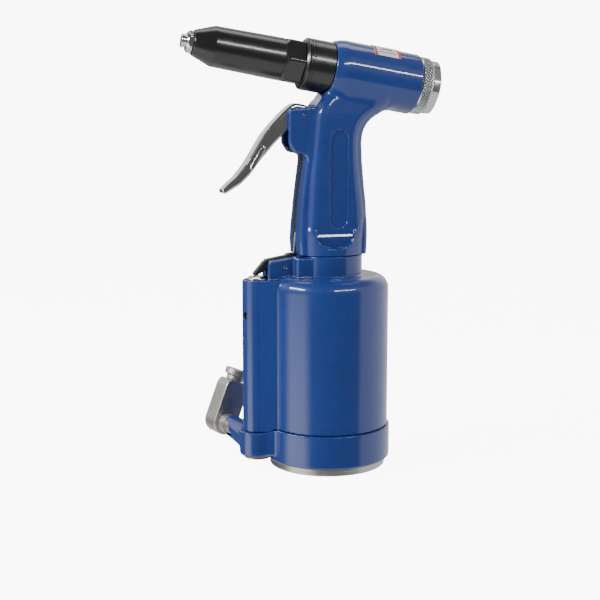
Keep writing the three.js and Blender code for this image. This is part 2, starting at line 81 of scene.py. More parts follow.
# local X runs out of the inlet boss
INLET = frame4((math.cos(BOSS_TURN), math.sin(BOSS_TURN), 0), (-math.sin(BOSS_TURN), math.cos(BOSS_TURN), 0),
               (0, 0, 1), (-52.6, 0, 21.5))
SWIVEL = INLET @ frame4((1, 0, 0), (0, math.cos(SWIVEL_LEAN), math.sin(SWIVEL_LEAN)),
                        (0, -math.sin(SWIVEL_LEAN), math.cos(SWIVEL_LEAN)), (0, 0, 0))
PORT = SWIVEL @ frame4((1, 0, 0), (0, 1, 0), (0, 0, 1), (BLOCK_OUT, 0, 0))
STEM = INLET @ frame4((0, 0, -1), (0, 1, 0), (1, 0, 0), (0, 0, 0))      # local Z runs out of the boss
ROD_LEN = math.hypot(ROD_TOP[0] - ROD_FOOT[0], ROD_TOP[1] - ROD_FOOT[1])
RX, RZ = (ROD_TOP[0] - ROD_FOOT[0]) / ROD_LEN, (ROD_TOP[1] - ROD_FOOT[1]) / ROD_LEN
ROD = frame4((RZ, 0, -RX), (0, 1, 0), (RX, 0, RZ), (ROD_FOOT[0], 0, ROD_FOOT[1]))


# ---------- outlines ----------
def fillet(points, r=0.3, steps=4):
    """Outline with rounded corners: points and outward normals. A point is (a, b) or (a, b, own radius)."""
    p = [np.array(q[:2], float) for q in points]
    n = len(p)
    if sum(p[i][0] * p[(i + 1) % n][1] - p[(i + 1) % n][0] * p[i][1] for i in range(n)) < 0:
        points, p = points[::-1], p[::-1]
    pts, nrm = [], []
    for i, q in enumerate(p):
        own = points[i][2] if len(points[i]) > 2 else r
        a, b = p[i - 1] - q, p[(i + 1) % n] - q
        la, lb = np.linalg.norm(a), np.linalg.norm(b)
        a, b = a / la, b / lb
        half = math.acos(max(-1, min(1, float(a @ b)))) / 2
        t = min(own / max(math.tan(half), 1e-6), 0.48 * la, 0.48 * lb)
        if t < 1e-4 or half > 1.569:
            d = b - a
            d /= np.linalg.norm(d)
            pts.append(q)
            nrm.append(np.array((d[1], -d[0])))
            continue
        for k in range(steps + 1):
            s = k / steps
            pts.append((1 - s) ** 2 * (q + a * t) + 2 * s * (1 - s) * q + s * s * (q + b * t))
            d = (1 - s) * -a + s * b
            d /= np.linalg.norm(d)
            nrm.append(np.array((d[1], -d[0])))
    return np.array(pts), np.array(nrm)


def outline(points, r, steps):
    """The rounded points alone, for poly."""
    return fillet(points, r, steps)[0]


# ---------- distance fields ----------
def smax(a, b, r):
    """The larger of two fields, which cuts one with the other, with an edge rounded to r."""
    return np.minimum(-r, np.maximum(a, b)) + np.hypot(np.maximum(r + a, 0), np.maximum(r + b, 0))


def smin(a, b, r):
    """The smaller of two fields, which joins them, with a fillet of r."""
    return -smax(-a, -b, r)


def poly(x, z, pts):
    """Signed distance to a closed outline, negative inside."""
    best, inside = None, False
    n = len(pts)
    for i in range(n):
        (ax, az), (bx, bz) = pts[i], pts[(i + 1) % n]
        ex, ez = bx - ax, bz - az
        wx, wz = x - ax, z - az
        t = np.clip((wx * ex + wz * ez) / (ex * ex + ez * ez + 1e-12), 0, 1)
        q = (wx - t * ex) ** 2 + (wz - t * ez) ** 2
        best = q if best is None else np.minimum(best, q)
        if abs(ez) > 1e-9:
            inside = inside ^ (((az > z) != (bz > z)) & (wx < ex * wz / ez))
    d = np.sqrt(best)
    return np.where(inside, -d, d)


def capsule(x, z, a, b, r):
    ex, ez = b[0] - a[0], b[1] - a[1]
    t = np.clip(((x - a[0]) * ex + (z - a[1]) * ez) / (ex * ex + ez * ez), 0, 1)
    return np.hypot(x - a[0] - t * ex, z - a[1] - t * ez) - r


def hexagon(x, y, flats, turn=0.0):
    d = None
    for k in range(3):
        t = turn + k * math.pi / 3
        v = np.abs(x * math.cos(t) + y * math.sin(t)) - flats / 2
        d = v if d is None else smax(d, v, 0.12)
    return d


def local(m, x, y, z):
    """The point in the local frame m, all in millimetres."""
    q = (x - m[0, 3], y - m[1, 3], z - m[2, 3])
    return [sum(m[i, k] * q[i] for i in range(3)) for k in range(3)]


def gradient(f, p, e):
    g = np.empty_like(p)
    for k in range(3):
        a, b = p.copy(), p.copy()
        a[:, k] += e
        b[:, k] -= e
        g[:, k] = (f(*a.T) - f(*b.T)) / (2 * e)
    return g


def surface(f, lo, hi, h, relax=2, blur=0.12):
    """Closed quad mesh of f = 0 on a grid of step h, relaxed and pulled back onto the surface."""
    axes = [np.arange(a - 2 * h, b + 2.01 * h, h) for a, b in zip(lo, hi)]
    x, y, z = np.meshgrid(*axes, indexing="ij", sparse=True)
    n = tuple(len(a) for a in axes)
    v = np.array(np.broadcast_to(f(x, y, z), n), np.float32)
    v[v == 0] = 1e-5
    stride = np.array([n[1] * n[2], n[2], 1])
    cells, points, quads = [], [], []
    for a in range(3):
        b, c = (a + 1) % 3, (a + 2) % 3
        cut = [slice(None)] * 3
        cut[a] = slice(0, -1)
        first = v[tuple(cut)]
        cut[a] = slice(1, None)
        second = v[tuple(cut)]
        e = np.argwhere((first < 0) != (second < 0))
        va, vb = first[tuple(e.T)], second[tuple(e.T)]
        at = e.astype(float)
        at[:, a] += va / (va - vb)
        base = e @ stride
        four = [base - stride[b] * i - stride[c] * j for i, j in ((1, 1), (0, 1), (0, 0), (1, 0))]
        quad = np.stack(four, 1)
        flip = va > 0
        quad[flip] = quad[flip][:, ::-1]
        cells += four
        points += [at] * 4
        quads.append(quad)
    ids, inverse = np.unique(np.concatenate(cells), return_inverse=True)
    points = np.concatenate(points)
    count = np.bincount(inverse)
    p = np.stack([np.bincount(inverse, points[:, k]) / count for k in range(3)], 1) * h
    p += [a[0] for a in axes]
    quads = np.searchsorted(ids, np.concatenate(quads))
    edges = np.concatenate([quads[:, [i, (i + 1) % 4]] for i in range(4)])
    edges = np.concatenate([edges, edges[:, ::-1]])
    degree = np.bincount(edges[:, 0], minlength=len(p))

    def pull(p, times):
        for _ in range(times):
            g = gradient(f, p, 0.04)
            step = (f(*p.T) / np.maximum((g ** 2).sum(1), 0.05))[:, None] * g
            step *= np.minimum(1, 0.5 * h / np.maximum(np.linalg.norm(step, axis=1), 1e-9))[:, None]
            p = p - step
        return p

    p = pull(p, 1)
    for _ in range(relax):
        mean = np.stack([np.bincount(edges[:, 0], p[edges[:, 1], k], len(p)) for k in range(3)], 1)
        p = pull(0.5 * p + 0.5 * (mean / degree[:, None]), 1)
    p = pull(p, 2)
    g = gradient(f, p, blur)
    return p, quads, g / np.maximum(np.linalg.norm(g, axis=1), 1e-9)[:, None]


# ---------- meshes ----------
def place(points, m):
    return points @ m[:3, :3].T + m[:3, 3]


def piece(name, points, faces, materials, body, nodes, normals=None, index=None, angle=None):
    me = bpy.data.meshes.new(name)
    me.from_pydata((points * MM).tolist(), [], faces if isinstance(faces, list) else faces.tolist())
    for m in materials if isinstance(materials, list) else [materials]:
        me.materials.append(m)
    if index is not None:
        me.polygons.foreach_set("material_index", index)
    me.shade_smooth()
    if normals is not None:
        me.normals_split_custom_set_from_vertices(normals.tolist())
    elif angle:
        me.set_sharp_from_angle(angle=angle)
    me.update()
    obj = bpy.data.objects.new(name, me)
    bpy.context.scene.collection.objects.link(obj)
    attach(obj, body)
    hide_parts(*nodes)
    return obj


def lathe(profile, m=WORLD, count=96, r=0.3, steps=3, bump=None):
    """Solid of revolution about local Z. The profile is (radius, z) or (radius, z, own corner radius)."""
    profile = [(q[0], q[1], 0) if q[0] < 1e-6 else q for q in profile]
    pts, nrm = fillet(profile, r, steps)
    n = len(pts)
    t = np.arange(count) * 2 * math.pi / count
    c, s = np.cos(t), np.sin(t)
    rings, points, normals = [], [], []
    for q, d in zip(pts, nrm):
        if q[0] < 1e-6:
            rings.append([len(points)])
            points.append((0, 0, q[1]))
            normals.append((0, 0, 1.0 if d[1] > 0 else -1.0))
            continue
        rad = q[0] + (bump(t, q[1], q[0]) if bump else 0 * t)
        rings.append(list(range(len(points), len(points) + count)))
        points += list(zip(rad * c, rad * s, 0 * t + q[1]))
        normals += list(zip(d[0] * c, d[0] * s, 0 * t + d[1]))
    faces = []
    for i in range(n):
        a, b = rings[i], rings[(i + 1) % n]
        if len(a) == 1 and len(b) == 1:
            continue
        for j in range(count):
            k = (j + 1) % count
            if len(a) == 1:
                faces.append((a[0], b[k], b[j]))
            elif len(b) == 1:
                faces.append((a[j], a[k], b[0]))
            else:
                faces.append((a[j], a[k], b[k], b[j]))
    return place(np.array(points), m), faces, np.array(normals) @ m[:3, :3].T


def solid(name, field, lo, hi, step, material, body, nodes, m=WORLD, relax=2):
    """A piece meshed from a distance field that is written in the frame m."""
    p, q, n = surface(field, lo, hi, step, relax)
    return piece(name, place(p, m), q, material, body, nodes, n @ m[:3, :3].T)


def spun(name, profile, m, material, body, nodes, count=96, r=0.3, steps=3):
    p, q, n = lathe(profile, m, count, r, steps)
    return piece(name, p, q, material, body, nodes, n)


# ---------- materials ----------
def finish(name, color, metal, rough, spread=0.08, tint=0.12, coat=0.0, coat_rough=0.04, peel=None, grain=None,
           wear=None, crease_grime_and_shade=0.25, turn=0.0, spec=0.5, speck=None):
    """Procedural finish. tint varies the colour, spread the roughness, and the crease strength darkens the
    concave creases with painted shade mixed with grime.
    peel and grain are (scale per metre, bump in millimetres), and grain may have a third value, the stretch.
    wear on the edges is (colour, pointiness, strength), and speck is (scale, threshold, strength, colour)."""
    m = bpy.data.materials.new(name)
    m.use_nodes = True
    nt = m.node_tree
    nt.nodes.clear()
    new, link = nt.nodes.new, nt.links.new
    out, bsdf = new("ShaderNodeOutputMaterial"), new("ShaderNodeBsdfPrincipled")
    link(bsdf.outputs[0], out.inputs[0])
    where, turned = new("ShaderNodeTexCoord"), new("ShaderNodeMapping")
    turned.inputs["Rotation"].default_value = (0, turn, 0)
    link(where.outputs["Object"], turned.inputs["Vector"])

    def noise(scale, detail=4.0, stretch=None):
        source = turned.outputs[0]
        if stretch:
            mp = new("ShaderNodeMapping")
            mp.inputs["Scale"].default_value = stretch
            link(source, mp.inputs["Vector"])
            source = mp.outputs[0]
        n = new("ShaderNodeTexNoise")
        n.inputs["Scale"].default_value = scale
        n.inputs["Detail"].default_value = detail
        link(source, n.inputs["Vector"])
        return n.outputs["Fac"]

    def remap(value, a, b, c, d):
        """a to b becomes c to d."""
        r = new("ShaderNodeMapRange")
        for i, v in enumerate((a, b, c, d), 1):
            r.inputs[i].default_value = v
        link(value, r.inputs[0])
        return r.outputs[0]

    def maths(kind, a, b):
        r = new("ShaderNodeMath")
        r.operation = kind
        link(a, r.inputs[0])
        link(b, r.inputs[1])
        return r

    def mix(fac, a, b):
        r = new("ShaderNodeMix")
        r.data_type = "RGBA"
        link(fac, r.inputs[0])
        for v, s in ((a, r.inputs[6]), (b, r.inputs[7])):
            if isinstance(v, tuple):
                s.default_value = (*v, 1)
            else:
                link(v, s)
        return r.outputs[2]

    def scaled(times):
        return tuple(min(1, c * times) for c in color)

    cloud = noise(38)
    shade = mix(remap(cloud, 0.3, 0.7, 0, 1), scaled(1 - tint), scaled(1 + tint))
    point = new("ShaderNodeNewGeometry").outputs["Pointiness"]
    # painted shade mixed with grime: low pointiness (concave creases) darkens the colour towards a quarter of
    # itself, broken up by noise
    crease_shade_mask = maths("MULTIPLY", remap(point, 0.49, 0.44, 0, crease_grime_and_shade), remap(noise(160), 0.35, 0.7, 0.2, 1))
    shade = mix(crease_shade_mask.outputs[0], shade, scaled(0.25))
    if wear:
        edge = maths("MULTIPLY", remap(point, wear[1], wear[1] + 0.05, 0, 1),
                     remap(noise(420, 6), 0.42, 0.62, 0, wear[2]))
        shade = mix(edge.outputs[0], shade, wear[0])
    if speck:
        shade = mix(remap(noise(speck[0], 2), speck[1], speck[1] + 0.04, 0, speck[2]), shade, speck[3])
    link(shade, bsdf.inputs["Base Color"])
    bsdf.inputs["Metallic"].default_value = metal
    bsdf.inputs["Specular IOR Level"].default_value = spec
    smear = noise(grain[0] if grain else 260, 5, grain[2] if grain and len(grain) > 2 else None)
    uneven = maths("ADD", remap(smear, 0.3, 0.7, rough - spread, rough + spread),
                   remap(noise(90), 0.35, 0.75, -spread / 2, spread / 2))
    uneven.use_clamp = True
    link(uneven.outputs[0], bsdf.inputs["Roughness"])
    if coat:
        bsdf.inputs["Coat Weight"].default_value = coat
        bsdf.inputs["Coat Roughness"].default_value = coat_rough
    last = None
    for layer in (grain, peel):
        if not layer:
            continue
        b = new("ShaderNodeBump")
        b.inputs["Strength"].default_value = 1.0
        b.inputs["Distance"].default_value = layer[1] * MM
        link(noise(layer[0], 3, layer[2] if len(layer) > 2 else None), b.inputs["Height"])
        if last:
            link(last, b.inputs["Normal"])
        last = b.outputs[0]
    if last:
        link(last, bsdf.inputs["Normal"])
        if coat and peel:
            link(last, bsdf.inputs["Coat Normal"])
    return m


LATHE_MARKS = (1.0, 1.0, 26.0)          # stretches the grain into rings round local Z
GROUND = (1, 1, 14)
ALONG_BARREL = -(math.pi / 2 - BARREL_TILT)
BLUE = finish("paint_blue", (0.0125, 0.038, 0.195), 0.0, 0.42, 0.06, 0.07, coat=1.0, coat_rough=0.05, spec=0.2,
              peel=(240, 0.020), wear=((0.10, 0.22, 0.55), 0.56, 0.55), crease_grime_and_shade=0.35)
BLACK = finish("anodised_black", (0.0095, 0.0098, 0.0105), 0.0, 0.24, 0.03, 0.2, coat=0.12, coat_rough=0.06,
               peel=(500, 0.001), wear=((0.16, 0.16, 0.17), 0.57, 0.5), turn=ALONG_BARREL, spec=0.7)
CHROME = finish("chrome_plated", (0.72, 0.72, 0.73), 1.0, 0.10, 0.05, 0.05, peel=(420, 0.012),
                speck=(900, 0.70, 0.5, (0.35, 0.33, 0.3)), crease_grime_and_shade=0.5)
STEEL = finish("steel_ground", (0.46, 0.47, 0.48), 1.0, 0.32, 0.09, 0.1, grain=(300, 0.006, GROUND))
DARK = finish("steel_dark", (0.085, 0.088, 0.094), 1.0, 0.36, 0.1, 0.2, grain=(500, 0.008),
              wear=((0.4, 0.4, 0.41), 0.56, 0.5))
TURNED = finish("aluminium_turned", (0.60, 0.61, 0.62), 1.0, 0.27, 0.09, 0.08, grain=(240, 0.006, LATHE_MARKS),
                turn=ALONG_BARREL, crease_grime_and_shade=0.6)
# painted shade: a dark copy of the turned aluminium for the bottoms of the knurl grooves
GROOVE_PAINTED_SHADE = finish("aluminium_groove_painted_shade", (0.16, 0.16, 0.165), 1.0, 0.4, 0.09, 0.08, crease_grime_and_shade=0.6)
ALUMINIUM = finish("aluminium_disc", (0.48, 0.48, 0.47), 1.0, 0.38, 0.1, 0.1, grain=(260, 0.008, (1, 1, 20)),
                   crease_grime_and_shade=0.5)
NICKEL = finish("nickel_dull", (0.50, 0.48, 0.44), 0.9, 0.42, 0.1, 0.14, grain=(650, 0.035),
                speck=(700, 0.66, 0.5, (0.2, 0.18, 0.16)), crease_grime_and_shade=0.6, wear=((0.75, 0.73, 0.7), 0.56, 0.5))
BRASS = finish("brass_turned", (0.58, 0.40, 0.13), 1.0, 0.33, 0.1, 0.14, grain=(300, 0.006, GROUND), crease_grime_and_shade=0.5)
RUBBER = finish("rubber_black", (0.012, 0.012, 0.013), 0.0, 0.55, 0.1, 0.2, grain=(900, 0.02))
LEVER = finish("lever_black", (0.02, 0.021, 0.023), 0.3, 0.38, 0.1, 0.25, grain=(700, 0.02),
               wear=((0.25, 0.25, 0.26), 0.56, 0.6))
PAPER = finish("label_white", (0.72, 0.72, 0.70), 0.0, 0.35, 0.06, 0.04, peel=(300, 0.01))
RED = finish("label_red", (0.55, 0.03, 0.02), 0.0, 0.35, 0.06, 0.08, peel=(300, 0.01))
INK = finish("label_grey", (0.10, 0.10, 0.11), 0.0, 0.4, 0.06, 0.08, peel=(300, 0.01))


# ---------- handle and barrel casting ----------
# outlines in the tool's plane of symmetry, as X and Z
BACK = [(2, 262, 2), (2, 268), (42, 262), (45, 252), (41, 248.6), (34, 243), (28.2, 239.6), (24, 235.2),
        (21.7, 230), (20.9, 223), (21.4, 211), (22.8, 195), (24.3, 182), (24.9, 168), (24.6, 157), (24.2, 148),
        (24.2, 130)]
GRIP = outline([(-23.6, 130), (-23.6, 148), (-24.3, 157), (-23.9, 168), (-22.8, 182), (-21.3, 195),
                (-19.2, 211), (-17.6, 223), (-16.4, 231), (-15, 239), (-13.4, 243.4), (-9.3, 249),
                (-6.2, 254, 2)] + BACK, 30, 3)
MAIN = outline([(-18.7, 130), (-18.8, 157), (-18.5, 168), (-17.9, 178), (-16.9, 195), (-15.3, 213),
                (-13.4, 232), (-12.2, 243), (-9.5, 250), (-5, 256, 2)] + BACK, 30, 3)
CHEEK = outline([(-30.3, 246.2, 2.6), (-30.4, 223, 3.5), (-26.6, 217, 3.5), (-19, 215.3, 4), (-15, 209.5, 2),
                 (-5, 209.5), (-4, 251.5), (-9, 250.4, 2), (-11.8, 247.6, 1.5)], 1, 4)
GRIP_BOTTOM = 147.9
LEDGE_Z = 160.6                 # top edge of the crescent pocket
GLAND_R = 12.3                  # bore for the glands of the ram and of the head


def rod_x(z):
    return ROD_FOOT[0] + (z - ROD_FOOT[1]) * RX / RZ


def handle(x, y, z):
    dx, dz = x - BARREL_FRONT[0], z - BARREL_FRONT[1]
    s, u = -COS_TILT * dx + SIN_TILT * dz, SIN_TILT * dx + COS_TILT * dz    # forward along the barrel, and up
    rb, r, ay = np.hypot(u, y), np.hypot(x, y), np.abs(y)
    # barrel, with a slight cone at the front
    shell = smax(smax(rb - BARREL_R, ((rb - BARREL_R) * 5.6 + (s + 5.6) * 2) / 5.946, 1.0), s, 0.5)
    shell = smax(shell, -61 - s, 0.9)
    # palm part of the grip, trimmed at the back
    half = np.interp(z, [148, 157, 168, 182, 195, 211, 243, 262], [17.6, 17.6, 17.4, 17, 16.5, 16, 16, 14.6])
    trim = np.interp(x, [6, 16], [0, 1.4]) * np.interp(z, [235, 250], [1, 0])
    main = smax(poly(x, z, MAIN) + trim, ay - half, np.interp(x, [-8, 10], [6.5, 10]))
    main = smax(main, r - np.interp(z, [147, 158, 172, 184], [23.6, 23.9, 25.6, 40]), 1.5)
    front = smax(poly(x, z, GRIP), ay - np.interp(z, [160, 176, 240], [14.5, 12.6, 12.0]), 4.0)
    # round foot that slopes into the grip, with a ledge and a crescent pocket on each side
    foot = smax(r - 23.6, (ay - 17.2) * 0.545 + (z - 164) * 0.839, 1.5)
    foot = smin(main, foot, 2.2)
    pocket = (np.hypot((x + 0.3) / 12.6, np.minimum(z - LEDGE_Z, 0) / 8.0) - 1) * 8
    floor_y = np.interp(z, [LEDGE_Z, 162.4], [18.2, 17.55])
    foot = smax(foot, -np.maximum(floor_y - ay, pocket), 0.3)
    grip = smax(smin(foot, front, 1.1), GRIP_BOTTOM - z, 0.6)
    cheek = smax(poly(x, z, CHEEK), ay - 12, 1.7)
    body = smin(smin(grip, cheek, 2.2), shell, 5.5)
    # mouth of the barrel, slot for the lever, groove for the rod
    body = smax(body, -smax(rb - 18.1, 0.2 - s, 0.5), 0.5)
    slot = np.maximum(np.maximum(x + 10.9, ay - 7.6), np.maximum(221 - z, z - 256))
    body = smax(body, -slot, 0.9)
    body = smax(body, -np.maximum(np.maximum(x - rod_x(z) - 2.6, ay - 3.4), z - 222.5), 0.7)
    panel = np.maximum(capsule(x, z, (3.3, 225.8), (2.4, 172.6), 6.1), half - 1.0 - ay)
    body = smax(body, -panel, 0.45)
    # the lever's pin goes in from a small hole on either side
    from_pin = np.hypot(x - PIVOT[0], z - PIVOT[1])
    body = np.maximum(body, -np.where(ay < 10.6, from_pin - 2.02, from_pin - 1.05))
    bores = np.minimum(np.maximum(rb - 14.4, s + 9), np.maximum(rb - GLAND_R, -s - 10))
    bores = np.minimum(bores, np.maximum(r - 8.5, z - 247))
    bores = np.minimum(bores, np.maximum(r - GLAND_R, z - 153))
    return smax(body, -bores, 0.3)


# ---------- cylinder, neck, valve channel and lugs ----------
DRUM_R = 42
WEB_Y = 14.6                    # half the width of the channel's web
WEB_SLOPE = (0.3502, 0.9367)    # along X and Y, normal to the web's slanting side
HOLE_TO = (-0.9487, -0.3162)    # the exhaust hole's direction, seen from above
LUG = outline([(-44.4, 126, 0), (-19, 126, 0), (-19, 146.7, 0), (-29.6, 146.4, 4), (-43.6, 144.2, 3.6),
               (-44.4, 141, 3)], 1, 5)


def seam(x):
    """Height of the parting line, which steps down at the channel."""
    return np.interp(x, [-49, -39.4], [26.4, 28.7])


def channel(x, y, grow):
    """Plan of the side channel: the round tube and the web that runs into the cylinder."""
    ay = np.abs(y)
    tube = np.hypot(x - CHANNEL_X, y) - 10 - grow
    web = np.maximum((ay - WEB_Y - grow) * WEB_SLOPE[1] - (x + 39.4) * WEB_SLOPE[0],
                     np.maximum(x + 30, -x - 53.4))
    web = np.maximum(web, ay - WEB_Y - grow)
    return smin(tube, web, 0.35)


def cylinder(x, y, z):
    r, rt, ay = np.hypot(x, y), np.hypot(x - CHANNEL_X, y), np.abs(y)
    drum = smax(smax(r - DRUM_R, z - 133.4, 9.0), 28.7 - z, 0.4)
    neck = smax(r - 23.7, z - 147.6, 0.6)
    neck = smax(neck, -smax(24.5 - r, np.abs(z - 144.9) - 0.5, 0.3), 0.3)
    body = smin(drum, neck, 0.9)
    side = smax(smax(channel(x, y, 0.0), z - 131.5, 0.9), seam(x) - z, 0.35)
    side = np.maximum(side, -np.maximum(r - 43.9, z - 28.7))
    body = smin(body, side, 0.8)
    # block in front of the neck, and the two lugs with the rocker's slot between them
    block = smax(smax(np.abs(x + 17.6) - 9.6, ay - 17.5, 3.2), z - 146.8, 1.3)
    body = smin(body, np.maximum(block, 128 - z), 0.6)
    lugs = smax(smax(poly(x, z, LUG), np.abs(ay - 6.5) - 3.1, 1.0), 127 - z, 0.2)
    body = smin(body, lugs, 0.7)
    body = smax(body, -np.maximum(np.maximum(np.abs(x + 30.7) - 11.3, ay - 3.4), 134.6 - z), 0.4)
    bores = np.minimum(np.maximum(r - 37, z - 127), np.maximum(r - GLAND_R, 126 - z))
    bores = np.minimum(bores, np.minimum(np.maximum(rt - 6, z - 96), np.maximum(rt - 8, 95 - z)))
    body = smax(body, -bores, 0.5)
    pin = np.hypot(x - ROCKER[0], z - ROCKER[1]) - np.where(ay < 8.4, 1.6, 1.05)
    body = np.maximum(body, -np.maximum(pin, ay - 12))
    # exhaust hole in the channel, and the air duct above the inlet
    ex, ey = HOLE_TO
    along = (x - CHANNEL_X) * ex + y * ey
    hole = np.maximum(np.hypot(-(x - CHANNEL_X) * ey + y * ex, z - 107) - 2.6, -along)
    body = smax(body, -hole, 0.35)
    duct = np.maximum(np.maximum(np.hypot(y, z - 37.4) - 1.8, x + 36), CHANNEL_X - x)
    return np.maximum(body, -duct)


# ---------- base cap ----------
def cap(x, y, z):
    r, rt = np.hypot(x, y), np.hypot(x - CHANNEL_X, y)
    main = smax(smax(r - 43.6, z - 28.4, 0.7), 5.4 - z, 1.7)
    spigot = smax(r - 36.7, z - 34, 0.6)
    body = smin(main, spigot, 0.3)
    # web and round lobe under the channel
    top = seam(x) - 0.3
    web = smax(smax(channel(x, y, 0.4), z - top, 0.5), 10.2 - z, 1.2)
    lobe = smax(smax(np.hypot(x - CHANNEL_X + 0.5, y) - 12, z - top, 0.8), 8.5 - z, 2.6)
    body = smin(body, smin(web, lobe, 1.5), 1.0)
    # tapered inlet boss
    lx, ly, lz = local(INLET, x, y, z)
    boss_r = np.interp(lx, [4, 16, 34], [9.6, 8.6, 7.5])
    boss_z = np.interp(lx, [4, 16, 34], [-3.3, -1.6, 0])
    boss = smax(smax((np.hypot(ly, lz - boss_z) - boss_r) * 0.98, lx - 34, 0.9), 4 - lx, 0.5)
    boss = np.maximum(boss, -np.maximum(np.maximum(channel(x, y, 0.3), seam(x) - 0.3 - z), z - 60))
    body = smin(body, boss, 1.4)
    # nothing above the seam but the spigot
    over = np.maximum(np.minimum(channel(x, y, 0.25), r - DRUM_R), seam(x) - 0.28 - z)
    body = np.maximum(body, -np.maximum(over, 37.2 - r))
    bores = np.minimum(np.maximum(r - 15, 26 - z), np.maximum(r - 30.3, z - 10))
    bores = np.minimum(bores, np.minimum(rt - 6, np.maximum(rt - 9.8, z - 8.5)))
    across = np.hypot(ly, lz)
    duct = np.minimum(np.maximum(across - 5.2, np.maximum(-lx, lx - 30)), np.maximum(across - 6.4, 24 - lx))
    return smax(body, -np.minimum(bores, duct), 0.35)


solid("handle_casting", handle, (-31, -24.2, 147.5), (62, 24.2, 294), 0.68, BLUE, "tool_body",
      ["handle_body"])
solid("cylinder_casting", cylinder, (-61, -42.5, 26), (42.5, 42.5, 148), 0.85, BLUE, "tool_body",
      ["air_cylinder"])
solid("base_cap_casting", cap, (-64, -44, 5), (44, 44, 35), 0.8, BLUE, "tool_body", ["base_cap"])


# ---------- disc, plug and valve ----------
def disc(x, y, z):
    r = np.hypot(x, y)
    body = smin(smax(smax(r - 40.3, z - 5.1, 0.3), -z, 0.7), smax(r - 30, z - 9.6, 0.4), 0.3)
    body = smax(body, -np.maximum(np.abs(r - 21) - 9, z - 0.8), 0.4)
    for a in (0.7, 0.7 + math.pi):
        body = smax(body, -np.maximum(np.hypot(x - 21 * math.cos(a), y - 21 * math.sin(a)) - 2.2, z - 4), 0.3)
    return body


p, q, n = surface(disc, (-41, -41, 0), (41, 41, 10), 0.7)
p[:, 2] = p[:, 2].clip(0, 10)           # the underside lies flat on the ground
piece("foot_disc", p, q, ALUMINIUM, "tool_body", ["base_disc"], n)


def plug(x, y, z):
    r = np.hypot(x - CHANNEL_X, y)
    body = smin(smax(smax(r - 9.4, z - 8.2, 0.3), 6.8 - z, 0.7), smax(r - 5.9, z - 13, 0.5), 0.2)
    return smax(body, -np.maximum(np.abs(y + 0.35 * (x - CHANNEL_X)) - 1.1, z - 8.0), 0.3)


solid("channel_plug", plug, (-60.5, -10, 6.8), (-40.5, 10, 13), 0.3, BRASS, "tool_body", ["valve_plug"])
spun("valve_button", [(0, 24.6), (4.7, 24.6), (4.7, 28.2), (3.4, 29.5), (2.5, 29.9), (2.5, 123), (7.1, 123),
                      (7.1, 127.6), (6.7, 127.9, 0.15), (6.7, 128.5, 0.15), (7.1, 128.8), (7.1, 132.4, 0.9),
                      (5.2, 133.6, 1.5), (0, 133.6)], TUBE, CHROME, "valve", ["valve_plunger"])
spun("valve_seat_ring", [(3.6, 30), (5.9, 30), (5.9, 35.2), (3.6, 35.2)], TUBE, BRASS, "tool_body",
     ["valve_seat"])
spun("valve_sleeve", [(2.6, 96.1), (7.9, 96.1), (7.9, 104), (7.4, 104.3, 0.2), (7.4, 109.7, 0.2), (7.9, 110),
                      (7.9, 118), (2.6, 118)], TUBE, NICKEL, "tool_body", ["valve_bushing"])
spun("bumper_ring", [(22, 34.1), (30, 34.1), (30, 37), (22, 37)], WORLD, RUBBER, "tool_body", ["bump_ring"],
     r=1.0)

ARM = outline([(-21.9, 148), (-26.8, 149.1), (-30.6, 147.4), (-38, 146.2), (-43.8, 145), (-46.4, 143.4),
               (-49.4, 139.9), (-52.8, 136), (-53, 134.7, 0.5), (-51.9, 133.8, 0.4), (-50.2, 134.4),
               (-43.6, 138.6), (-39, 139.2), (-36.3, 137.2), (-33.2, 136.2), (-30.2, 137.4), (-28.4, 145.2),
               (-24.9, 144.1), (-23.8, 144.1), (-21.9, 144.7)], 1.2, 3)


def arm(x, y, z):
    body = smax(poly(x, z, ARM), np.abs(y) - 3, 0.7)
    body = smax(body, -np.maximum(np.maximum(np.abs(x + 21) - 6, np.abs(y) - 1.7), 135 - z), 0.2)
    return smax(body, 1.6 - np.hypot(x - ROCKER[0], z - ROCKER[1]), 0.2)


def pin_profile(r, half):
    return [(0, -half), (r, -half, 0.3), (r, half, 0.3), (0, half)]


solid("rocker_arm", arm, (-54, -3, 133), (-21, 3, 150), 0.3, LEVER, "rocker", ["valve_lever"])
spun("rocker_pin", pin_profile(1.52, 8.3), cross(*ROCKER), STEEL, "tool_body", ["valve_lever_pin"],
     40)
spun("lever_pivot_pin", pin_profile(1.94, 10.5), cross(*PIVOT), STEEL, "tool_body", ["trigger_pin"],
     48)
spun("lever_rod_pin", pin_profile(1.2, 6.9), cross(*ROD_TOP), STEEL, "trigger", ["rod_pin"], 40)

# ---------- lever and rod ----------
LEVER_TOP = [(-12, 243.6), (-12.9, 246), (-18.1, 248.8), (-24.6, 249.9), (-28.2, 248.2), (-33.9, 243.3),
             (-41.1, 235.9), (-46.8, 229.2), (-53.2, 219), (-59, 209.5), (-66.1, 200.8), (-71.7, 196.1),
             (-75, 192.8, 1.2)]
LEVER_UNDER = [(-74.9, 190.9, 1.2), (-73.3, 189.9, 1.2), (-70.3, 191.6), (-61.9, 196.6), (-55.6, 202.6),
               (-49.9, 210.3), (-40.8, 220.7), (-34.4, 227.4), (-30.2, 231.3), (-24.5, 236), (-18, 238.6),
               (-12.9, 240.2)]
LEVER_WALL = 1.5
OUTER = outline(LEVER_TOP + LEVER_UNDER, 14, 4)
INNER = []
for i in range(2, 11):
    a, b = LEVER_TOP[i - 1], LEVER_TOP[i + 1]
    d = math.hypot(b[0] - a[0], b[1] - a[1])
    INNER.append((LEVER_TOP[i][0] - LEVER_WALL * (b[1] - a[1]) / d,
                  LEVER_TOP[i][1] + LEVER_WALL * (b[0] - a[0]) / d))
INNER = outline([(0, 246.4)] + INNER + [(-50, 180, 0), (0, 200, 0)], 12, 4)


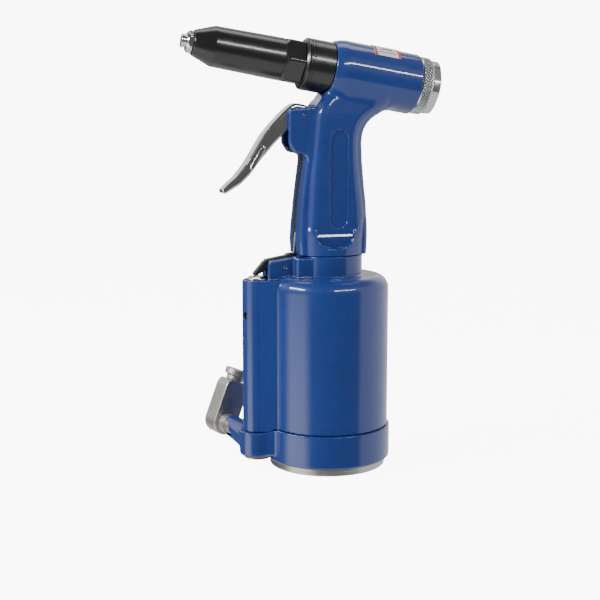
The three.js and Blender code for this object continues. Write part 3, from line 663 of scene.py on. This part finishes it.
def lever(x, y, z):
    """A pressed channel, open towards the grip, with a raised rib on each side."""
    ay = np.abs(y)
    wide = np.interp(x, [-75, -66, -40], [6.3, 6.9, 7.0])
    body = smax(poly(x, z, OUTER), ay - wide, np.interp(x, [-75, -68, -50], [1.3, 1.9, 2.3]))
    rib = capsule(x, z, (-47.3, 219.8), (-54.6, 207.4), 1.5)
    body = np.minimum(body, smax(smax(rib, ay - wide - 0.55, 0.5), 4 - ay, 0.1))
    hollow = smax(poly(x, z, INNER), ay - 5.5, 1.0)
    body = smax(body, -hollow, 0.35)
    body = np.maximum(body, 2.04 - np.hypot(x - PIVOT[0], z - PIVOT[1]))
    return np.maximum(body, 1.3 - np.hypot(x - ROD_TOP[0], z - ROD_TOP[1]))


def rod_shape(x, y, z):
    s = (x - ROD_FOOT[0]) * RX + (z - ROD_FOOT[1]) * RZ
    r = np.hypot((x - ROD_FOOT[0]) * RZ - (z - ROD_FOOT[1]) * RX, y)
    shaft = smax(r - 1.5, np.abs(s - (ROD_LEN - 3) / 2) - (ROD_LEN + 1) / 2, 0.2)
    body = np.minimum(shaft, smax(r - 2.3, np.abs(s + 2.2) - 1.2, 0.4))
    eye = smax(np.hypot(x - ROD_TOP[0], z - ROD_TOP[1]) - 3, np.abs(y) - 2, 0.4)
    eye_hole = capsule(x, z, (ROD_TOP[0] - 0.7, ROD_TOP[1]), (ROD_TOP[0] + 0.5, ROD_TOP[1]), 1.3)
    return np.maximum(smin(body, eye, 0.6), -eye_hole)


def along_rod(z):
    return (z - ROD_FOOT[1]) / RZ


solid("squeeze_lever", lever, (-76, -7.6, 189), (-11, 7.6, 251), 0.45, CHROME, "trigger",
      ["trigger_lever"])
solid("link_rod_bar", rod_shape, (-28, -2.4, 140.5), (-11.5, 2.4, 246), 0.36, STEEL, "link_rod",
      ["trigger_rod"])
ribs = [(2.3 - 0.12 * (k % 2), along_rod(164 + k * 1.3)) for k in range(40)]
spun("rod_sleeve", [(1.62, along_rod(163)), (2.3, along_rod(163))] + ribs + [(2.3, along_rod(216)),
                                                                            (1.62, along_rod(216))],
     ROD, RUBBER, "tool_body", ["rod_guide"], 40, 0.2, 2)

# ---------- air piston and ram ----------
spun("piston", [(5, 40), (36.4, 40), (36.4, 43.6), (33.4, 43.6), (33.4, 48.4), (36.4, 48.4), (36.4, 52),
                (20, 52), (18, 50.6), (9, 50.6), (8, 52), (5, 52)], WORLD, ALUMINIUM, "air_ram",
     ["air_piston"], 128)
spun("piston_lip_seal", [(33.5, 43.7), (36.8, 43.7), (36.2, 46, 0.5), (36.8, 48.3), (33.5, 48.3)], WORLD,
     RUBBER, "air_ram", ["piston_seal"], 128, 0.6)
spun("ram", [(0, 32.5), (4.8, 32.5, 0.5), (4.8, 52.2), (6, 52.2), (6, 164, 0.8), (5, 165.4, 0.4), (0, 165.4)],
     WORLD, STEEL, "air_ram", ["ram_rod"], 64)
spun("ram_guide", [(6.1, 128.3), (12.1, 128.3), (12.1, 147), (6.1, 147)], WORLD, BRASS, "tool_body",
     ["ram_gland"])
spun("ram_seal", [(6.15, 147.3), (12.1, 147.3), (12.1, 152.6), (6.15, 152.6)], WORLD, RUBBER, "tool_body",
     ["gland_seal"], r=0.7)

NUT_Z = 36.4


def nut(x, y, z):
    r = np.hypot(x, y)
    body = smax(hexagon(x, y, 13.856, math.pi / 6), np.abs(z - NUT_Z) - 3.4, 0.2)
    body = smax(body, r - 8.2 + np.maximum(np.abs(z - NUT_Z) - 2.4, 0) * 1.2, 0.2)
    return smax(body, 4.95 - r, 0.2)


solid("ram_nut", nut, (-8.2, -8.2, 33), (8.2, 8.2, 39.8), 0.35, STEEL, "air_ram", ["piston_nut"])

# ---------- hydraulic head ----------
spun("head_piston", [(2.7, -50), (5, -50, 0.5), (5, -20), (14.1, -20), (14.1, -17.6), (12, -17.6), (12, -13.6),
                     (14.1, -13.6), (14.1, -11), (7, -11), (7, 33.7), (6, 33.7), (6, 45.6), (2.7, 45.6)],
     BARREL, STEEL, "head", ["hydraulic_piston"], 96)
spun("head_lip_seal", [(12.1, -17.5), (14.3, -17.5), (14.3, -13.7), (12.1, -13.7)], BARREL, RUBBER, "head",
     ["head_seal"], r=0.7)
spun("front_bearing", [(7.1, -7.3), (9.2, -7.3), (9.2, 2), (7.1, 2)], BARREL, BRASS, "tool_body",
     ["front_gland"])
spun("jaw_holder", [(6.1, 34), (8.8, 34, 0.5), (8.8, 83.6), (7.6, 85), (3.8, 85, 0.1), (7.1, 72, 0.5),
                    (7.1, 46), (6.1, 46)], BARREL, DARK, "head", ["jaw_case"], 72, 0.15)
spun("jaw_push_ring", [(2.8, 63), (6.4, 63), (6.4, 70.4), (4.2, 73), (2.8, 73)], BARREL, STEEL, "pusher",
     ["jaw_pusher"], 64, 0.2)

JAW_HALF_ANGLE = math.radians(56)
TOOTH_PITCH = 0.9


def jaw_shape(index):
    mid = math.radians(index * 120 + 60)

    def f(x, y, z):
        lx, ly, lz = local(BARREL, x, y, z)
        r = np.hypot(lx, ly)
        turn = np.arctan2(ly * math.cos(mid) - lx * math.sin(mid), lx * math.cos(mid) + ly * math.sin(mid))
        body = smax((r - 6.35 + (lz - 74.2) * 0.2588) * 0.968, np.maximum(lz - 83.9, 73.6 - lz), 0.15)
        teeth = 1.7 + 0.3 * np.abs(((lz / TOOTH_PITCH) % 1) * 2 - 1)
        body = np.maximum(body, teeth - r)
        return np.maximum(body, (np.abs(turn) - JAW_HALF_ANGLE) * r)
    return f


for i, (name, body) in enumerate((("jaw_1", "jaw_a"), ("jaw_2", "jaw_b"), ("jaw_3", "jaw_c"))):
    c = place(np.array([[0, 0, 79.0]]), BARREL)[0]
    solid("serrated_" + name, jaw_shape(i), c - 9, c + 9, 0.25, STEEL, body, [name], relax=1)

# ---------- nose, in the barrel's frame ----------
spun("lock_nut", [(12.3, 0.3), (17.5, 0.3, 0.5), (17.5, 14.5, 0.15), (17.1, 14.8, 0.1), (17.1, 15.2, 0.1),
                  (17.5, 15.5, 0.15), (17.5, 16.7, 0.15), (17.1, 17, 0.1), (17.1, 17.4, 0.1),
                  (17.5, 17.7, 0.15), (17.2, 18.8, 0.8), (15.4, 20.1, 0.3), (12.3, 20.1)], BARREL, BLACK,
     "tool_body", ["frame_lock_nut"], 160)

HEX_END = 34.3                  # front of the housing's hexagon
CONE_START = 81


def housing(x, y, z):
    r = np.hypot(x, y)
    tube_r = np.interp(z, [20.4, 33.8, HEX_END, CONE_START], [13.2, 13.2, 14.2, 13.4])
    body = smax(r - tube_r, (r - 13.4) * 0.934 + (z - CONE_START) * 0.3555, 0.15)
    body = smax(body, z - 94.4, 0.35)
    body = np.where(z < 20.6, np.maximum(body, r - 12), body)
    hexa = smax(hexagon(x, y, 27.6), np.maximum(20.4 - z, z - HEX_END), 0.25)
    hexa = smax(hexa, (r - 15.5 + np.maximum(z - 31.2, 0) * 0.62) * 0.9, 0.25)
    body = np.minimum(body, hexa)
    body = smax(body, -7.5 - z, 0.5)
    return smax(body, -np.minimum(np.maximum(r - 9.3, z - 86), r - 5), 0.25)


def tip(x, y, z):
    r = np.hypot(x, y)
    body = smax(np.minimum(smax(r - 4.8, 86.6 - z, 0.4), r - 3.1), 84.2 - z, 0.2)
    body = np.maximum(body, z - 98)
    hexa = smax(hexagon(x, y, 13.4, math.pi / 6), np.maximum(94.7 - z, z - 98.8), 0.2)
    hexa = smax(hexa, (r - 7.5 + np.maximum(z - 97.0, 0) * 0.9) * 0.8, 0.15)
    hexa = smax(hexa, (r - 7.5 + np.maximum(95.4 - z, 0) * 0.9) * 0.8, 0.15)
    lip = smax(r - 4.5, np.abs(z - 101.0) - 1.0, 0.5)
    body = smin(np.minimum(body, hexa), smin(smax(r - 3.9, np.abs(z - 99) - 2, 0.2), lip, 0.3), 0.3)
    return smax(body, 1.6 - r, 0.25)


solid("nose_tube", housing, (-16, -16, -7.5), (16, 16, 94.4), 0.5, BLACK, "tool_body", ["nose_housing"],
      BARREL)
solid("nose_tip", tip, (-7.6, -7.6, 84.2), (7.6, 7.6, 102), 0.24, CHROME, "tool_body", ["nosepiece"],
      BARREL)

# ---------- rear of the barrel ----------
KNURL_R = 19.5
KNURL_COUNT = 52                # grooves round the cap, in each of the two directions
KNURL_PITCH = 2.35              # from groove to groove along the barrel
KNURL_DEPTH = 0.5
SHADED_R = 19.18                # painted shade: groove faces below this radius take the dark groove material


def knurl(t, z, r):
    if not -68.45 < z < -62.55 or r < 18:
        return 0 * t
    turns = t * KNURL_COUNT / (2 * math.pi)
    a = np.abs(((turns + z / KNURL_PITCH) % 1) * 2 - 1)
    b = np.abs(((turns - z / KNURL_PITCH) % 1) * 2 - 1)
    return -KNURL_DEPTH * (1 - np.minimum(a, b) * 1.6).clip(0, 1)


rows = [(KNURL_R, -68.35 + 0.18 * k, 0) for k in range(33)]
p, q, n = lathe([(5.4, -69.3), (18.9, -69.3), (19.35, -68.6)] + rows + [(19.35, -62.3), (18.9, -61.5),
                (14.1, -61.5), (14.1, -55), (5.4, -55)], BARREL, 624, 0.12, 2, knurl)
lx, ly, lz = local(BARREL, *p.T)
from_axis = np.hypot(lx, ly)
# painted shade: faces deep in the knurl grooves get the dark groove material
groove_shade_faces = (from_axis < SHADED_R) & (np.abs(lz + 65.5) < 2.95) & (from_axis > 18)
piece("knurled_cap", p, q, [TURNED, GROOVE_PAINTED_SHADE], "tool_body", ["rear_cap"], angle=math.radians(32),
      index=[int(groove_shade_faces[list(f)].sum() * 2 > len(f)) for f in q])


def ring(x, y, z):
    r = np.hypot(x, y)
    body = smax(smax(r - 18.6, z + 69.6, 0.3), -75 - z, 0.8)
    body = smax(body, hexagon(x, y, 35.6), 0.3)
    return smax(body, 10 - r, 0.6)


solid("rear_collar", ring, (-19, -19, -75), (19, 19, -69.6), 0.42, TURNED, "tool_body", ["rear_ring"],
      BARREL)


# ---------- label: a thin bent sheet with plain end bands and bars ----------
def label(wide=88, high=64):
    """wide and high are the sheet's cells along the barrel and round it."""
    points, faces, index = [], [], []
    for r in (20.9, 20.5):
        for i in range(wide + 1):
            for j in range(high + 1):
                s, a = -44.5 + 18.7 * i / wide, math.radians(-6 - 42 * j / high)
                points.append((r * math.cos(a), r * math.sin(a), s))

    def at(side, i, j):
        return (side * (wide + 1) + i) * (high + 1) + j

    def edge(a, b):
        """Closes the rim between two neighbouring points of the outer side."""
        faces.append((at(0, *a), at(0, *b), at(1, *b), at(1, *a)))
        index.append(0)

    for i in range(wide):
        for j in range(high):
            u, v = (i + 0.5) / wide, (j + 0.5) / high
            band = u < 0.1 or u > 0.9
            bar = 0.18 < u < 0.82 and (0.16 < v < 0.22 or 0.74 < v < 0.79) or 0.3 < u < 0.7 and 0.42 < v < 0.56
            faces.append((at(0, i, j), at(0, i + 1, j), at(0, i + 1, j + 1), at(0, i, j + 1)))
            index.append(1 if band else 2 if bar else 0)
            faces.append((at(1, i, j), at(1, i, j + 1), at(1, i + 1, j + 1), at(1, i + 1, j)))
            index.append(0)
    for i in range(wide):
        edge((i + 1, 0), (i, 0))
        edge((i, high), (i + 1, high))
    for j in range(high):
        edge((0, j), (0, j + 1))
        edge((wide, j + 1), (wide, j))
    return np.array(points), faces, index


p, q, marks = label()
piece("label_sheet", place(p, BARREL), q, [PAPER, RED, INK], "tool_body", ["label_plate"], index=marks,
      angle=math.radians(40))


# ---------- swivelling inlet ----------
def block(x, y, z):
    """In the swivel frame: X out of the boss, Z along the block."""
    ax = x - BLOCK_OUT
    flat = np.hypot(y, np.minimum(z, 0)) - 9.5
    plan = smax(smax(flat, z - 30.5, 0.6), (np.abs(y) * 0.868 + z * 0.496) - (9.5 * 0.868 + 27 * 0.496), 1.2)
    body = smax(plan, np.abs(ax) - 8, 1.1)
    body = smax(body, -np.maximum(np.hypot(y, z) - 7.2, 7.2 - ax), 0.35)
    body = smax(body, -np.maximum(np.maximum(np.abs(y) - 5.4, np.abs(z - 17) - 6.5), 7.3 - ax), 0.5)
    bores = np.minimum(np.maximum(np.hypot(y, z) - 4.4, ax - 3.4), np.maximum(np.hypot(ax, y) - 4, -z))
    return smax(body, -bores, 0.3)


solid("inlet_block", block, (42.6, -9.5, -9.5), (58.6, 9.5, 30.5), 0.45, NICKEL, "inlet_swivel",
      ["swivel_block"], SWIVEL)
thread = [(5.8 + 0.35 * (k % 2), 38.6 - 0.45 * k, 0.05) for k in range(10)]
spun("hose_socket", [(4.4, 30.8), (6.6, 30.8), (6.6, 33.4, 0.5), (9, 34.6, 0.3), (9, 38.2), (8.2, 39),
                     (5.8, 39, 0.15)] + thread + [(5.8, 34, 0.1), (4.4, 34)], PORT, NICKEL, "inlet_swivel",
     ["hose_port"], 96, 0.25)
spun("swivel_stem", [(2.6, 26), (6.1, 26), (6.1, 34.3), (7, 34.3), (7, 37), (6.5, 37.3, 0.1), (6.5, 38.2, 0.1),
                     (7, 38.5), (7, 42.2), (4.3, 42.2), (4.3, 52), (2.6, 52)], STEM, NICKEL, "tool_body",
     ["inlet_stem"], 72, 0.25)


# ---------- springs ----------------------------------------------------------------------
def spring(name, mean, wire, low, high, turns, m, body, sides=12):
    """Helix along local Z between low and high, with closed end turns."""
    steps = turns * 36
    t = np.linspace(0, 1, steps + 1)
    rise = np.clip((t - 0.35 / turns) / (1 - 0.7 / turns), 0, 1)
    turn, height = 2 * math.pi * turns * t, low + wire + (high - low - 2 * wire) * (0.12 * t + 0.88 * rise)
    u = np.linspace(0, 2 * math.pi, sides, endpoint=False)
    radius = mean + wire * np.cos(u)[None, :]
    points = np.stack([radius * np.cos(turn)[:, None], radius * np.sin(turn)[:, None],
                       height[:, None] + wire * np.sin(u)[None, :]], -1).reshape(-1, 3)
    faces = [(i * sides + k, (i + 1) * sides + k, (i + 1) * sides + (k + 1) % sides,
              i * sides + (k + 1) % sides) for i in range(steps) for k in range(sides)]
    faces += [tuple(range(sides)), tuple(steps * sides + k for k in reversed(range(sides)))]
    obj = piece(name + "_coil", place(points, m), faces, STEEL, body, [name], angle=math.radians(40))
    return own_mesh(obj)


spring("valve_spring", 4, 0.6, 13.1, 24.5, 4, TUBE, "tool_body")
spring("return_spring", 10.2, 1.1, -54.6, -20.3, 5, BARREL, "tool_body")
spring("pusher_spring", 4.6, 0.7, 46.1, 62.9, 5, BARREL, "head")


# ---------- stage, in metres ----------
def look(obj, at):
    obj.rotation_euler = (Vector(at) - obj.location).to_track_quat("-Z", "Y").to_euler()


def backdrop(name, mesh, material, color, strength):
    """Glows by itself, and is only a background: it neither lights the tool nor mirrors in it."""
    shader = material.node_tree.nodes["Principled BSDF"]
    shader.inputs["Emission Color"].default_value = color
    shader.inputs["Emission Strength"].default_value = strength
    mesh.materials.append(material)
    obj = bpy.data.objects.new(name, mesh)
    bpy.context.scene.collection.objects.link(obj)
    obj.visible_glossy = obj.visible_diffuse = obj.visible_transmission = obj.visible_shadow = False
    return obj


WHITE = (1, 1, 1, 1)
FLOOR_R, FLOOR_SIDES, COVE_R = 8, 64, 6
floor_mesh = bpy.data.meshes.new("floor")
corners = [k * 2 * math.pi / FLOOR_SIDES for k in range(FLOOR_SIDES)]
floor_mesh.from_pydata([(FLOOR_R * math.cos(a), FLOOR_R * math.sin(a), -0.0002) for a in corners], [],
                       [tuple(range(FLOOR_SIDES))])
pale = finish("floor_pale", (0.8, 0.8, 0.8), 0.0, 0.7, 0.05, 0.01, crease_grime_and_shade=0.0, spec=0.1)
floor = backdrop("floor", floor_mesh, pale, WHITE, 8.5)

cove_mesh = bpy.data.meshes.new("cove")
bm = bmesh.new()
bmesh.ops.create_uvsphere(bm, u_segments=64, v_segments=32, radius=COVE_R)
bmesh.ops.reverse_faces(bm, faces=bm.faces)
bm.to_mesh(cove_mesh)
bm.free()
cove_mesh.shade_smooth()
glow = bpy.data.materials.new("cove_pale")
glow.use_nodes = True
glow.node_tree.nodes["Principled BSDF"].inputs["Base Color"].default_value = (0, 0, 0, 1)
cove = backdrop("cove", cove_mesh, glow, WHITE, 9.0)

# ---------- world: soft zones that the paint and the metal mirror ----------
world = bpy.data.worlds.new("studio")
bpy.context.scene.world = world
world.use_nodes = True
nt = world.node_tree
nt.nodes.clear()
coord, split = nt.nodes.new("ShaderNodeTexCoord"), nt.nodes.new("ShaderNodeSeparateXYZ")
back, out = nt.nodes.new("ShaderNodeBackground"), nt.nodes.new("ShaderNodeOutputWorld")
nt.links.new(coord.outputs["Generated"], split.inputs[0])


def span(axis, a, b, c, d):
    """Goes smoothly from c to d as the direction's component along axis goes from a to b."""
    ramp = nt.nodes.new("ShaderNodeMapRange")
    ramp.interpolation_type = "SMOOTHSTEP"
    for i, v in enumerate((a, b, c, d), 1):
        ramp.inputs[i].default_value = v
    nt.links.new(split.outputs[axis], ramp.inputs[0])
    return ramp.outputs[0]


def combine(kind, first, *rest):
    total = first
    for term in rest:
        node = nt.nodes.new("ShaderNodeMath")
        node.operation = kind
        nt.links.new(total, node.inputs[0])
        nt.links.new(term, node.inputs[1])
        total = node.outputs[0]
    return total


right = combine("MULTIPLY", span("X", 0.2, 0.5, 0.0, 1.05), span("Y", -0.74, -0.62, 0.0, 1.0),
                span("Z", 0.4, 0.8, 1.0, 0.2))
left = combine("MULTIPLY", span("X", -0.7, -0.5, 1.0, 0.0), span("Z", -0.30, -0.02, 2.9, 0.5),
               span("Y", -0.72, -0.42, 0.0, 1.0), span("Y", -0.05, 0.32, 1.0, 0.0),
               span("Z", 0.4, 0.8, 1.0, 0.2))
rear = combine("MULTIPLY", span("Y", 0.2, 0.5, 0.0, 1.0), span("Z", 0.05, 0.22, 0.0, 1.25),
               span("Z", 0.45, 0.8, 1.0, 0.25))
below = span("Z", -0.52, -0.40, 0.95, 0.12)
nt.links.new(combine("MAXIMUM", right, left, combine("MAXIMUM", rear, below)), back.inputs["Strength"])
back.inputs["Color"].default_value = WHITE
nt.links.new(back.outputs[0], out.inputs[0])


# ---------- lights and camera ----------
def softbox(name, at, aim, wide, high, power):
    light = bpy.data.lights.new(name, "AREA")
    light.shape, light.size, light.size_y, light.energy = "RECTANGLE", wide, high, power
    obj = bpy.data.objects.new(name, light)
    bpy.context.scene.collection.objects.link(obj)
    obj.location = at
    look(obj, aim)


softbox("key_left", (-1.1, -0.15, 0.78), (0, 0, 0.16), 0.75, 0.22, 18)
softbox("front_strip", (0.35, -1.08, 0.82), (0, 0, 0.16), 0.9, 0.07, 9)
softbox("overhead", (0.1, 0.38, 1.4), (0, 0, 0.1), 1.2, 0.5, 5)

camera = bpy.data.cameras.new("camera")
camera.lens, camera.sensor_width, camera.clip_start = 73.5, 36, 0.01
cam = bpy.data.objects.new("camera", camera)
bpy.context.scene.collection.objects.link(cam)
cam.location = (-0.2496, -0.8012, 0.2509)
look(cam, (-0.01836, 0.00526, 0.1148))
bpy.context.scene.camera = cam
